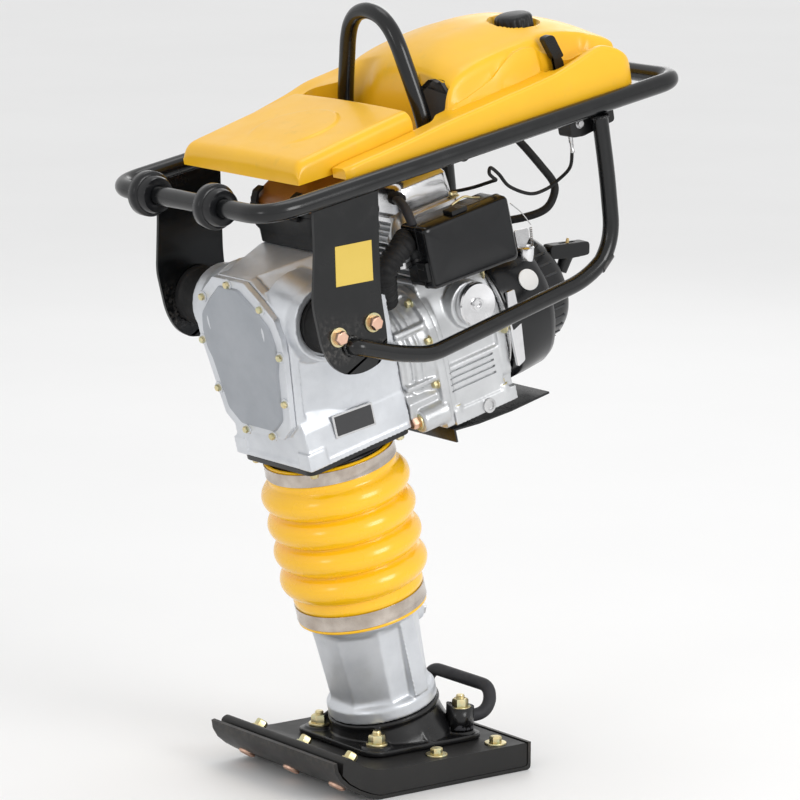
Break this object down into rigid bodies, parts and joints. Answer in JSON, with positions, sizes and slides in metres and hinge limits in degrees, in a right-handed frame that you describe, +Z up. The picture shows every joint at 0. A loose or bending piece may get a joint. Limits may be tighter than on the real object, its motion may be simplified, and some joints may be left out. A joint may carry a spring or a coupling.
{
  "type": "jumping jack rammer",
  "caption": "Upright trench rammer: flat curled shoe, leaning bellows leg, crankcase with petrol engine, loop handle with fuel tank and lifting bail.",
  "frame": {"origin": "where the axis of the leg meets the flat underside of the shoe, on the floor", "axes": "+Z up, -Y towards the curled toe of the shoe and the gear cover, +Y towards the operator's end of the handle, +X towards the exhaust side"},
  "size_m": [0.4054, 0.7214, 1.044],
  "materials": {
    "yellow_plastic": "satin moulded yellow plastic",
    "bellows_plastic": "glossy flexible yellow plastic",
    "black_paint": "gloss black paint on steel",
    "cast_alloy": "as-cast light alloy, machined on its faces",
    "zinc": "yellow zinc plated fasteners",
    "steel": "bright machined steel",
    "black_rubber": "matte black rubber",
    "black_plastic": "matte black moulded plastic",
    "shoe_plastic": "dark laminated plastic, scuffed",
    "shoe_steel": "dark painted steel sole, scuffed",
    "amber_lid": "amber-brown moulded plastic"
  },
  "bodies": {
    "foot": {"shoe_plate": "shoe_steel", "shoe_block": "shoe_plastic", "foot_flange": "black_paint", "foot_nut_1": "zinc", "foot_nut_2": "zinc", "foot_nut_3": "zinc", "foot_nut_4": "zinc", "foot_handle": "black_rubber", "leg_casting": "cast_alloy", "oil_plug": "steel", "spring_cylinder": "steel", "lower_spring": "steel", "upper_spring": "steel", "bellows": "bellows_plastic", "lower_clamp": "steel"},
    "upper": {"upper_clamp": "steel", "flange_plate": "black_paint", "guide_cylinder": "steel", "crankcase": "cast_alloy", "gear_cover": "cast_alloy", "crank_bearing": "steel", "clutch_housing": "cast_alloy", "handle_mount_right": "black_rubber", "handle_mount_left": "black_rubber", "engine_block": "cast_alloy", "cylinder_barrel": "cast_alloy", "rocker_cover": "cast_alloy", "exhaust_shield": "black_paint", "silencer": "steel", "side_cover_disc": "cast_alloy", "recoil_cover": "black_plastic", "engine_guard_plate": "black_paint", "carburettor": "cast_alloy", "air_box": "black_plastic", "air_lid": "amber_lid", "intake_hose": "black_rubber"},
    "crank": {"crank_gear": "steel"},
    "rod": {"connecting_rod": "steel"},
    "piston": {"piston_rod": "steel"},
    "pinion": {"clutch_drum": "steel"},
    "engine_shaft": {"engine_crankshaft": "steel"},
    "reel": {"recoil_reel": "black_plastic"},
    "starter": {"starter_handle": "black_plastic"},
    "choke": {"choke_lever": "black_plastic"},
    "handle": {"handle_loop": "black_paint", "lifting_bail": "black_paint", "side_bracket_right": "black_paint", "side_bracket_left": "black_paint", "guard_tube_right": "black_paint", "guard_tube_left": "black_paint", "fuel_tank": "yellow_plastic", "front_hood": "yellow_plastic", "throttle_bracket": "black_paint", "fuel_cock": "black_plastic", "fuel_hose": "black_rubber", "throttle_cable": "black_rubber"},
    "throttle": {"throttle_lever": "black_plastic"},
    "cap": {"fuel_cap": "black_plastic"},
    "roller_a": {"roller_right": "black_rubber"},
    "roller_b": {"roller_left": "black_rubber"}
  },
  "joints": [
    {"name": "leg_stroke", "type": "slide", "parent": "foot", "child": "upper", "axis": [0, -0.2501, 0.9682], "range_m": [-0.035, 0.04], "stiffness_N_per_m": 40000, "springref_m": 0.0135, "deforming": ["bellows", "lower_spring", "upper_spring"]},
    {"name": "crank_spin", "type": "hinge", "parent": "upper", "child": "crank", "pos_m": [0, -0.12839, 0.64025], "axis": [0, 0.9682, 0.2501], "continuous": true},
    {"name": "rod_swing", "type": "hinge", "parent": "crank", "child": "rod", "pos_m": [0, -0.15824, 0.61187], "axis": [0, 0.9682, 0.2501], "continuous": true},
    {"name": "piston_stroke", "type": "slide", "parent": "upper", "child": "piston", "axis": [0, -0.2501, 0.9682], "range_m": [0, 0.04]},
    {"name": "pinion_spin", "type": "hinge", "parent": "upper", "child": "pinion", "pos_m": [0, -0.0439, 0.56914], "axis": [0, 0.9682, 0.2501], "continuous": true},
    {"name": "engine_spin", "type": "hinge", "parent": "upper", "child": "engine_shaft", "pos_m": [0, 0.05292, 0.59418], "axis": [0, 0.9682, 0.2501], "continuous": true},
    {"name": "starter_pull", "type": "slide", "parent": "upper", "child": "starter", "axis": [-0.4199, 0.5849, 0.6939], "range_m": [0, 0.3], "stiffness_N_per_m": 20, "springref_m": -0.3},
    {"name": "reel_spin", "type": "hinge", "parent": "upper", "child": "reel", "pos_m": [0, 0.20685, 0.63399], "axis": [0, 0.9682, 0.2501], "range_deg": [0, 600]},
    {"name": "choke_swing", "type": "hinge", "parent": "upper", "child": "choke", "pos_m": [-0.1065, 0.04934, 0.73579], "axis": [1, 0, 0], "range_deg": [-60, 0]},
    {"name": "handle_rock", "type": "hinge", "parent": "upper", "child": "handle", "pos_m": [0, -0.20459, 0.64533], "axis": [1, 0, 0], "range_deg": [-2.5, 2.5], "stiffness_Nm_per_rad": 1500, "springref_deg": 0.8, "deforming": ["fuel_hose", "throttle_cable"]},
    {"name": "throttle_swing", "type": "hinge", "parent": "handle", "child": "throttle", "pos_m": [0.131, 0.18111, 0.88114], "axis": [1, 0, 0], "range_deg": [-20, 0]},
    {"name": "cap_turn", "type": "hinge", "parent": "handle", "child": "cap", "pos_m": [0.045, 0.15898, 1.00317], "axis": [0, -0.194, 0.981], "range_deg": [0, 120]},
    {"name": "roller_right_spin", "type": "hinge", "parent": "handle", "child": "roller_a", "pos_m": [0.061, -0.3413, 0.80217], "axis": [1, 0, 0], "continuous": true},
    {"name": "roller_left_spin", "type": "hinge", "parent": "handle", "child": "roller_b", "pos_m": [-0.089, -0.3413, 0.80217], "axis": [1, 0, 0], "continuous": true}
  ],
  "couplings": [
    {"joint": "rod_swing", "follows": "crank_spin", "ratio": -1},
    {"joint": "pinion_spin", "follows": "crank_spin", "ratio": -5.6667},
    {"joint": "reel_spin", "follows": "starter_pull", "rad_per_m": 33.333}
  ]
}
